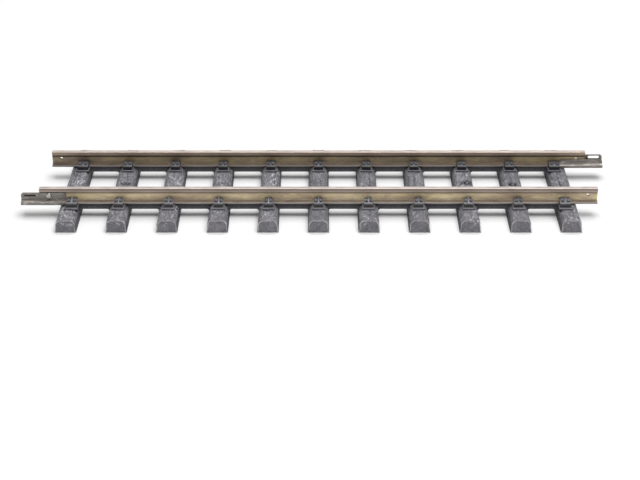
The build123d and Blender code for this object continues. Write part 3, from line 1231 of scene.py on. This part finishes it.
@dataclass
class Chair:
    """A plate across the sleeper with a jaw and two bolts on each side of the rail.

    It is modelled in the rail's own frame, with the rail's sole at height 0.
    """

    width: float = 5.1
    reach: float = 7.0
    front: float = 2.0
    peak: float = 3.1
    shoulder: float = 3.8  # where the jaw's slope bends, from the rail's middle
    nose: float = 0.5  # level top of a jaw beside the web
    waist: float = 0.72  # width of an outer jaw at the rail, as a share of its width
    plate_width: float = 6.7
    plate_reach: dict[Flank, float] = by_flank(9.4, 8.7)
    plate_height: float = 0.3
    plate_depth: float = 1.6
    plate_rounding: float = 0.08
    plate_wear: float = 0.15  # on top
    plate_shade: float = 0.62  # painted shade on its front and sides, below its top
    foot_half: float = 3.1
    foot_edge: float = 0.8
    foot_slope: float = 0.7
    web_half: float = 0.75
    clearance: float = 0.12
    web_gap: float = 0.1  # more room beside the web
    nose_drop: float = 0.1
    jaw_rounding: float = 0.2
    # the inner jaws are rubbed less pale and are much darker than the outer ones: dirt and painted
    # shade
    jaw_wear_shaded_inner: dict[Flank, float] = by_flank(1.0, 0.4)
    jaw_dirt_and_shade: dict[Flank, float] = by_flank(0.1, 0.65)
    edge_band: Point = (0.35, 0.05)  # from a jaw's side, between which its edge is worn
    top_band: float = 0.12  # depth below the slope that still counts as its top
    top_wear: float = 0.05
    top_dirt_and_shade: float = 0.6  # share of a jaw's dirt and painted shade that lies on top
    chance_wear: Point = (0.08, 0.30)  # least and most
    narrowing: Point = (4.0, 1.2)  # from the rail, between which an outer jaw gets its waist
    web_shade: float = 0.35  # painted shade added towards the web
    web_dark: Point = (3.6, 1.6)  # from the rail, between which that sets in
    bolt_radius: float = 0.58
    bolt_spacing: float = 2.5
    bolt_reach: float = 4.5
    bolt_top: float = 3.3
    bolt_sides: int = 14
    collar: float = 0.45  # hollow round each bolt, darkened with painted shade
    rib_half: float = 0.34
    rib_height: dict[Flank, float] = by_flank(0.35, 0.21)
    rib_inset: float = 0.45  # from a jaw's front
    rib_rounding: float = 0.12
    joiner_half: float = 3.95
    outward: int = 0  # -1 or 1 where the plate ends under a joiner, towards the track's end

    @property
    def web_face(self) -> float:
        """How far from the rail's middle a jaw ends at the web."""
        return self.web_half + self.clearance + self.web_gap

    def slope(self, reach: float | np.ndarray) -> float | np.ndarray:
        """Height of a jaw's sloping top at a distance from the rail's middle."""
        share = (self.reach - reach) / (self.reach - self.web_face - self.nose)
        return self.front + (self.peak - self.front) * share

    def jaw_outline(self, side: int) -> list[Point]:
        """Draws the jaw's section across the track.

        Args:
            side: -1 or 1, the direction from the rail.

        Returns:
            Places across and up, in order.
        """
        web = self.web_face
        foot = self.foot_half + self.clearance
        points = [
            (self.reach, -self.plate_height),
            (self.reach, self.front),
            (self.shoulder, self.slope(self.shoulder)),
            (web + self.nose, self.peak),
            (web, self.peak - self.nose_drop),
            (web, self.foot_edge + self.foot_slope + 2 * self.clearance),
            (foot, self.foot_edge + 2 * self.clearance),
            (foot, -self.plate_height),
        ]
        return [(side * across, up) for across, up in points]

    def build(self, track_side: int, random: np.random.Generator) -> MeshDraft:
        """Models the chair.

        Args:
            track_side: -1 for the rail on the track's front side, 1 for the back one.
            random: gives each chair its own wear.

        Returns:
            The chair's parts.
        """
        draft = MeshDraft()
        half = self.plate_width / 2
        for side in (-1, 1):
            flank = Flank.OUTER if side == track_side else Flank.INNER
            self._add_jaw(draft, side, flank, random)
            near, far = sorted((side * self.joiner_half, side * self.plate_reach[flank]))
            self._add_plate(draft, (-half, half), (near, far))
        low = -self.width / 2 if self.outward < 0 else -half
        high = self.width / 2 if self.outward > 0 else half
        self._add_plate(draft, (low, high), (-self.joiner_half, self.joiner_half))
        return draft

    def _add_plate(self, draft: MeshDraft, x_span: Point, y_span: Point) -> None:
        """Adds a stretch of the plate.

        Args:
            draft: gets the stretch.
            x_span: from where to where it lies along the track.
            y_span: the same across the track.
        """
        low, high = x_span
        deep = -self.plate_depth
        outline = [(low, deep), (high, deep), (high, 0.0), (low, 0.0)]
        vertices, faces = rounded_prism(outline, y_span, self.plate_rounding, Axis.ACROSS_TRACK)
        top = vertices[:, 2] > -0.03
        # pale wear on the plate's top, painted shade on its front and sides
        draft.add(vertices, faces, self.plate_wear * top, self.plate_shade * ~top)

    def _add_jaw(
        self, draft: MeshDraft, side: int, flank: Flank, random: np.random.Generator
    ) -> None:
        """Adds one jaw with its rib and its two bolts.

        Args:
            draft: gets the jaw.
            side: -1 or 1, the direction from the rail.
            flank: which side of the rail that is.
            random: gives it its own wear.
        """
        half = self.width / 2
        outline, span = self.jaw_outline(side), (-half, half)
        vertices, faces = rounded_prism(outline, span, self.jaw_rounding, Axis.ALONG_TRACK)
        worn_from, worn = (half - band for band in self.edge_band)
        edge = smoothstep(worn_from, worn, np.abs(vertices[:, 0]))
        reach = np.abs(vertices[:, 1])
        high = vertices[:, 2] > self.slope(reach) - self.top_band
        rubbed = self.jaw_wear_shaded_inner[flank] * random.uniform(*self.chance_wear, 4)
        wear = (rubbed[0] * edge + self.top_wear) * high
        # dirt and painted shade: less on a jaw's top than on its sides, and most on the inner jaws
        grime = self.jaw_dirt_and_shade[flank] * np.where(high, self.top_dirt_and_shade, 1.0)
        # painted shade towards the rail's web
        grime += self.web_shade * smoothstep(*self.web_dark, reach)
        if flank is Flank.OUTER:
            vertices[:, 0] *= 1.0 - (1.0 - self.waist) * smoothstep(*self.narrowing, reach)
        draft.add(vertices, faces, wear, np.clip(grime, 0.0, 1.0))
        self._add_rib(draft, side, flank, 2.0 * rubbed[1])
        for end, pale in zip((-1, 1), rubbed[2:], strict=True):
            x = end * self.bolt_spacing / 2 + random.uniform(-0.1, 0.1)
            self._add_bolt(draft, x, side * self.bolt_reach, 2.0 * pale)

    def _add_rib(self, draft: MeshDraft, side: int, flank: Flank, pale: float) -> None:
        """Adds the rib between the bolts, pale on top with wear and a painted highlight; it is
        short on the inner side.

        Args:
            draft: gets the rib.
            side: -1 or 1, the direction from the rail.
            flank: which side of the rail that is.
            pale: paleness of its top, wear with a painted highlight.
        """
        start = self.reach - self.rib_inset
        stop = self.web_face if flank is Flank.OUTER else self.bolt_reach + 0.2
        rise = self.rib_height[flank]
        corners = [
            (start, -0.3),
            (start, 0.3 * rise),
            (start - 0.6, rise),
            (stop + 0.2, rise),
            (stop, 0.4 * rise),
            (stop, -0.3),
        ]
        outline = [(side * across, self.slope(across) + up) for across, up in corners]
        span = (-self.rib_half, self.rib_half)
        vertices, faces = rounded_prism(outline, span, self.rib_rounding, Axis.ALONG_TRACK)
        high = vertices[:, 2] > self.slope(np.abs(vertices[:, 1])) + 0.05
        # the rib's pale top is wear with a painted highlight
        draft.add(vertices, faces, pale * high, 0.0)

    def _add_bolt(self, draft: MeshDraft, x: float, y: float, pale: float) -> None:
        """Adds a round bolt in a collar darkened with painted shade, on the jaw's slope.

        Args:
            draft: gets the bolt.
            x: its place along the track.
            y: its place across the track.
            pale: paleness of its top, wear with a painted highlight.
        """
        radius, sides = self.bolt_radius, self.bolt_sides
        wide = radius + self.collar
        ground = self.slope(abs(y))
        collar = [  # radius, height, wear and grime of each ring; the collar's grime is painted shade
            (wide, ground - 0.5, 0.0, 0.3),
            (wide, ground + 0.02, 0.0, 0.3),
            (wide - 0.1, ground + 0.06, 0.0, 0.5),
            (radius + 0.02, ground + 0.05, 0.0, 0.5),
        ]
        # the head's pale side is painted light, and its pale top is wear with a painted highlight
        head = [
            (radius, ground + 0.30, 0.1, 0.0),
            (radius, self.bolt_top - 0.20, 0.3, 0.0),
            (radius - 0.1, self.bolt_top - 0.05, 0.9 * pale, 0.0),
            (radius * 0.5, self.bolt_top, pale, 0.0),
        ]
        turn = np.linspace(0.0, 2 * math.pi, sides, endpoint=False)
        lean = (self.slope(self.bolt_reach + 1.0) - self.slope(self.bolt_reach)) * np.sign(y)
        rings = np.repeat([*collar, *head], sides, axis=0)
        around = np.tile(np.stack((np.cos(turn), np.sin(turn)), axis=1), (len(collar + head), 1))
        points = np.array((x, y)) + rings[:, :1] * around
        tilted = np.arange(len(rings)) < len(collar) * sides
        height = rings[:, 1] + tilted * lean * (points[:, 1] - y)
        count = len(rings) // sides
        base = tuple(reversed(range(sides)))
        faces = [base, *ring_faces(count, sides), last_ring(count, sides)]
        draft.add(np.column_stack((points, height)), faces, rings[:, 2], rings[:, 3])


@dataclass
class TieBay:
    """The strip under a rail between two sleepers, rounded into their sides."""

    gap: float
    width: float = 6.2
    depth: float = 2.9
    rounding: float = 1.2
    edge_rounding: float = 0.14
    below_wear: float = 0.12
    # painted shadow of the rail's foot on the strip's upper part
    grime: float = 0.25
    corner_shade: float = 0.35  # painted shade added in the corners at the sleepers
    root: float = 1.1  # how far it reaches into a sleeper
    arc_steps: int = 6

    def build(self) -> MeshDraft:
        """Models one bay in a rail's own frame, with its top at height 0.

        Returns:
            The bay, with its middle at the origin.
        """
        half = self.gap / 2
        low = -self.depth
        turn = np.radians(np.linspace(0.0, 90.0, self.arc_steps))
        across = half - self.rounding + self.rounding * np.sin(turn)
        up = low - self.rounding + self.rounding * np.cos(turn)
        root = half + self.root
        right = [*zip(across, up, strict=True), (root, low - self.rounding), (root, 0.0)]
        left = [(-x, z) for x, z in reversed(right)]
        span = (-self.width / 2, self.width / 2)
        outline = [*right, *left]
        vertices, faces = rounded_prism(outline, span, self.edge_rounding, Axis.ACROSS_TRACK)
        near_sleeper = smoothstep(half - 3.0, half, np.abs(vertices[:, 0]))
        below = vertices[:, 2] < low + 0.2
        # painted shadow on the upper part, and painted shade in the corners at the sleepers
        grime = self.grime * ~below + self.corner_shade * near_sleeper
        draft = MeshDraft()
        draft.add(vertices, faces, self.below_wear * below, grime)
        return draft


@dataclass
class SleeperStrip:
    """The whole moulding: sleepers, tie strips and chairs."""

    end_chair: dict[str, float] = field(
        default_factory=lambda: {
            "width": 6.0,
            "bolt_spacing": 3.2,
            "waist": 0.9,
            "plate_width": 7.3,
        }
    )
    end_chair_shift: float = 1.6  # towards the track's middle
    sheet: float = 0.6  # thickness of a joiner
    recess_gap: float = 0.12
    smooth_angle: float = 50.0  # sharper edges of the carved sleepers stay sharp
    weld: float = 0.005
    first_seed: int = 20
    weathering: tuple[float, ...] = (1.4, 0.9, 1.4, 0.9, 1.3, 0.6, 0.9, 0.7, 1.3, 0.6, 1.0)
    cuts: tuple[int, ...] = (9, 2, 4, 0, 1, 1, 2, 0, 6, 1, 7)
    knots: dict[int, list[Knot]] = field(
        default_factory=lambda: {
            1: [Knot(0.3, 0.3, 1.8, 1.8)],
            4: [Knot(-33.0, -1.5, 1.4)],
            8: [Knot(1.9, 1.7, 3.0, 1.15)],
            9: [Knot(-0.1, -0.2, 2.4, 1.15)],
        }
    )

    def build(
        self, wood: bpy.types.Material, chair_plastic: bpy.types.Material
    ) -> list[bpy.types.Object]:
        """Models and dresses the moulding round the CAD strip and rails.

        Args:
            wood: finish of the sleepers.
            chair_plastic: finish of the chairs and the tie strips.

        Returns:
            The new pieces.
        """
        low, high = (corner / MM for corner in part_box(SLEEPER_NODE))
        rail_low, rail_high = (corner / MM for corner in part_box("rail_front"))
        line = abs(rail_low.y + rail_high.y) / 2
        plain = Sleeper(length=high.y - low.y, rail_line=line)
        end = high.x - plain.width / 2
        places = np.linspace(-end, end, len(self.weathering))
        pieces = []
        for number, place in enumerate(places):
            draft = self._sleeper(number, plain, rail_low.z).build()
            draft.place(place, 0.0, 0.0)
            pieces.append(draft.build(f"sleeper_{number + 1:02d}", self.smooth_angle, self.weld))
            dress(pieces[-1], wood)
        for side, name in ((-1, "front"), (1, "back")):
            drafts = {"chairs": self._chairs(places, side), "tie_strip": self._ties(places, plain)}
            for kind, draft in drafts.items():
                draft.place(0.0, side * line, rail_low.z)
                pieces.append(draft.build(f"{kind}_{name}"))
                dress(pieces[-1], chair_plastic)
        for piece in pieces:
            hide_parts(SLEEPER_NODE)
            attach(piece, SLEEPER_BODY)
        return pieces

    def _outward(self, number: int) -> int:
        """-1 for the strip's first sleeper, 1 for its last and 0 for those between."""
        return (number == len(self.weathering) - 1) - (number == 0)

    def _sleeper(self, number: int, plain: Sleeper, sole: float) -> Sleeper:
        """One of the sleepers; the first and the last have recesses for joiners.

        Args:
            number: its place in the strip, from 0.
            plain: a sleeper of the right length, with the rails' place.
            sole: height of the rails' soles.

        Returns:
            The sleeper with its own grain, wear, cuts and knots.
        """
        outward = self._outward(number)
        inner = outward * (self.end_chair["width"] / 2 - self.end_chair_shift)
        floor = sole - self.sheet - self.recess_gap
        recess = (inner, outward * plain.width, Chair.joiner_half, floor)
        return replace(
            plain,
            chair_shift=-outward * self.end_chair_shift,
            seed=self.first_seed + number,
            weathering=self.weathering[number],
            whittled=(self.cuts[number], self.cuts[-1 - number]),
            knots=self.knots.get(number, []),
            recess=recess if outward else None,
        )

    def _ties(self, places: np.ndarray, plain: Sleeper) -> MeshDraft:
        """Models the strips between the sleepers under one rail.

        Args:
            places: where the sleepers lie along the track.
            plain: a sleeper of the right size.

        Returns:
            The strips in the rail's own frame.
        """
        gap = places[1] - places[0] - (plain.width - 2 * plain.draft)
        bay = TieBay(gap=gap).build()
        ties = MeshDraft()
        for middle in (places[:-1] + places[1:]) / 2:
            ties.merge(bay, middle)
        return ties

    def _chairs(self, places: np.ndarray, side: int) -> MeshDraft:
        """All chairs of one rail, with wider ones at the ends, shifted inwards.

        Args:
            places: where the sleepers lie along the track.
            side: -1 for the front rail, 1 for the back rail.

        Returns:
            The chairs in the rail's own frame.
        """
        chairs = MeshDraft()
        random = np.random.default_rng(self.first_seed + side)
        for number, place in enumerate(places):
            outward = self._outward(number)
            shape = Chair(outward=outward, **self.end_chair) if outward else Chair()
            chairs.merge(shape.build(side, random), place - outward * self.end_chair_shift)
        return chairs


# ---- Metal parts kept from the CAD model -------------------------------------------


@dataclass
class Metalwork:
    """The two rails, their joiners and the joiner screws."""

    front: DrawnBrass = DrawnBrass(
        name="drawn_brass_olive",
        crown="d8ccc6",
        head="90837a",
        head_low="b1a398",
        dirt="84766a",
        web="e5d5b3",
        web_dull="c2ae94",
        bare="eadfa8",
        crease_dirt_and_shade="857b70",
        foot="9d9793",
    )
    # the back rail: its web, crease, foot and lower head are painted darker than the front rail's,
    # as shade
    back: DrawnBrass = DrawnBrass(
        name="drawn_brass_shaded",
        crown="dccfc5",
        head="a29286",
        head_low="9f8f80",
        dirt="483c30",
        web="ae9e7e",
        web_dull="908272",
        bare="bcad84",
        crease_dirt_and_shade="7a6f64",
        foot="837d79",
        ledge_dirt_and_shade=0.95,
    )
    joiner: FoldedBrass = FoldedBrass()
    screw: NickelPlate = NickelPlate()

    def dress_all(self, nodes: dict[str, bpy.types.Object]) -> None:
        """Gives each metal node its finish.

        Args:
            nodes: the CAD nodes by name.
        """
        for name, finish in (("rail_front", self.front), ("rail_back", self.back)):
            low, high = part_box(name)
            dress(nodes[name], finish.material(low.z, high.z - low.z))
            log.info("%s: %s", name, finish.name)
        sheet = self.joiner.material()
        plated = self.screw.material()
        for side in ("left", "right"):
            dress(nodes[f"joiner_{side}"], sheet)
            dress(nodes[f"joiner_screw_{side}"], plated)
        log.info("joiners: %s, screws: %s", self.joiner.name, self.screw.name)


# ---- Studio ------------------------------------------------------------------------


@dataclass(frozen=True)
class Softbox:
    """A rectangular light aimed at the middle of the track."""

    name: str
    place: Cell  # in metres
    size: Point  # length and width in metres
    power: float  # in watts

    def hang(self) -> None:
        """Adds the light to the scene."""
        light = bpy.data.lights.new(self.name, "AREA")
        light.shape = "RECTANGLE"
        light.size, light.size_y = self.size
        light.energy = self.power
        lamp = link(self.name, light)
        lamp.location = self.place
        lamp.rotation_euler = (-Vector(self.place)).to_track_quat("-Z", "Y").to_euler()


@dataclass
class Studio:
    """A white floor, soft light from above and a camera that looks down at the track."""

    distance: float = 0.912  # from the middle of the track to the camera
    sideways: float = 0.0008  # of the camera
    elevation: float = 25.5  # of the camera, in degrees
    tilt: float = 27.06  # how far the camera looks down, in degrees
    lens: float = 92.5
    sensor: float = 36.0
    floor_side: float = 6.0
    card_radius: float = 0.35  # the floor fades to plain white from here
    surround: float = 0.42  # brightness of the white surroundings
    above: Softbox = Softbox("softbox_above", (0.15, 0.05, 1.3), (1.5, 1.1), 23.0)
    front: Softbox = Softbox("softbox_front", (0.6, -1.5, 0.9), (1.2, 0.8), 1.5)

    def build(self) -> None:
        """Makes the floor, the lights and the camera."""
        self._add_floor()
        self._add_world()
        self.above.hang()
        self.front.hang()
        self._add_camera()
        bpy.context.scene.view_settings.view_transform = "Standard"
        log.info("studio built")

    def _add_floor(self) -> None:
        """Adds a pale floor just under the soles, which fades to white further out."""
        half = self.floor_side / 2
        mesh = bpy.data.meshes.new("floor")
        corners = [(-half, -half, 0.0), (half, -half, 0.0), (half, half, 0.0), (-half, half, 0.0)]
        mesh.from_pydata(corners, [], [(0, 1, 2, 3)])
        floor = link("floor", mesh)
        material, tree = blank_material("white_card")
        matte = {"Base Color": linear("e2e2e2"), "Roughness": 0.9, "Specular IOR Level": 0.1}
        card = add_node(tree, "ShaderNodeBsdfPrincipled", matte)
        glow = add_node(tree, "ShaderNodeEmission", {"Strength": 1.0})
        place = add_node(tree, "ShaderNodeTexCoord", output="Object")
        radius = add_node(tree, "ShaderNodeVectorMath", {0: place}, "Value", operation="LENGTH")
        fade = {0: radius, 1: self.card_radius, 2: 2 * self.card_radius}
        far = add_node(tree, "ShaderNodeMapRange", fade, **EASED)
        shader = add_node(tree, "ShaderNodeMixShader", {0: far, 1: card, 2: glow})
        add_node(tree, "ShaderNodeOutputMaterial", {"Surface": shader})
        dress(floor, material)

    def _add_world(self) -> None:
        """Lights everything evenly with white, and shows pure white behind the floor."""
        world = bpy.data.worlds.new("white_surround")
        world.use_nodes = True
        tree = world.node_tree
        tree.nodes.clear()
        seen = add_node(tree, "ShaderNodeLightPath", output="Is Camera Ray")
        strength = add_node(tree, "ShaderNodeMapRange", {0: seen, 3: self.surround, 4: 1.0})
        white = {"Color": linear("ffffff"), "Strength": strength}
        glow = add_node(tree, "ShaderNodeBackground", white)
        add_node(tree, "ShaderNodeOutputWorld", {"Surface": glow})
        bpy.context.scene.world = world

    def _add_camera(self) -> None:
        """Adds the camera at the viewing angle and makes it the scene's."""
        camera = bpy.data.cameras.new("camera")
        camera.lens = self.lens
        camera.sensor_width = self.sensor
        camera.clip_start = 0.01
        body = link("camera", camera)
        angle = math.radians(self.elevation)
        back, up = self.distance * math.cos(angle), self.distance * math.sin(angle)
        body.location = (self.sideways, -back, up)
        body.rotation_euler = (math.radians(90.0 - self.tilt), 0.0, 0.0)
        bpy.context.scene.camera = body


def main() -> None:
    """Builds every piece of the track section and the studio round it."""
    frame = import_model()
    wood = MouldedPlastic(
        name="moulded_plastic_grained",
        base="4f4e54",
        worn="c0bec3",
        grimy_and_shaded="2e2c30",
        dust="7b797d",
    )
    dark = MouldedPlastic(
        name="moulded_plastic_dark",
        base="414044",
        worn="a5a3a7",
        grimy_and_shaded="19181b",
        dust="57565a",
        dust_share=0.3,
        roughness=0.52,
        fibre=(0.8, 0.8, 0.8),
        fibre_share=0.05,
    )
    for piece in SleeperStrip().build(wood.material(), dark.material()):
        log.info("%s: %d faces", piece.name, len(piece.data.polygons))
    Metalwork().dress_all(frame["nodes"])
    Studio().build()


if __name__ == "__main__":
    logging.basicConfig(level=logging.INFO)
    main()
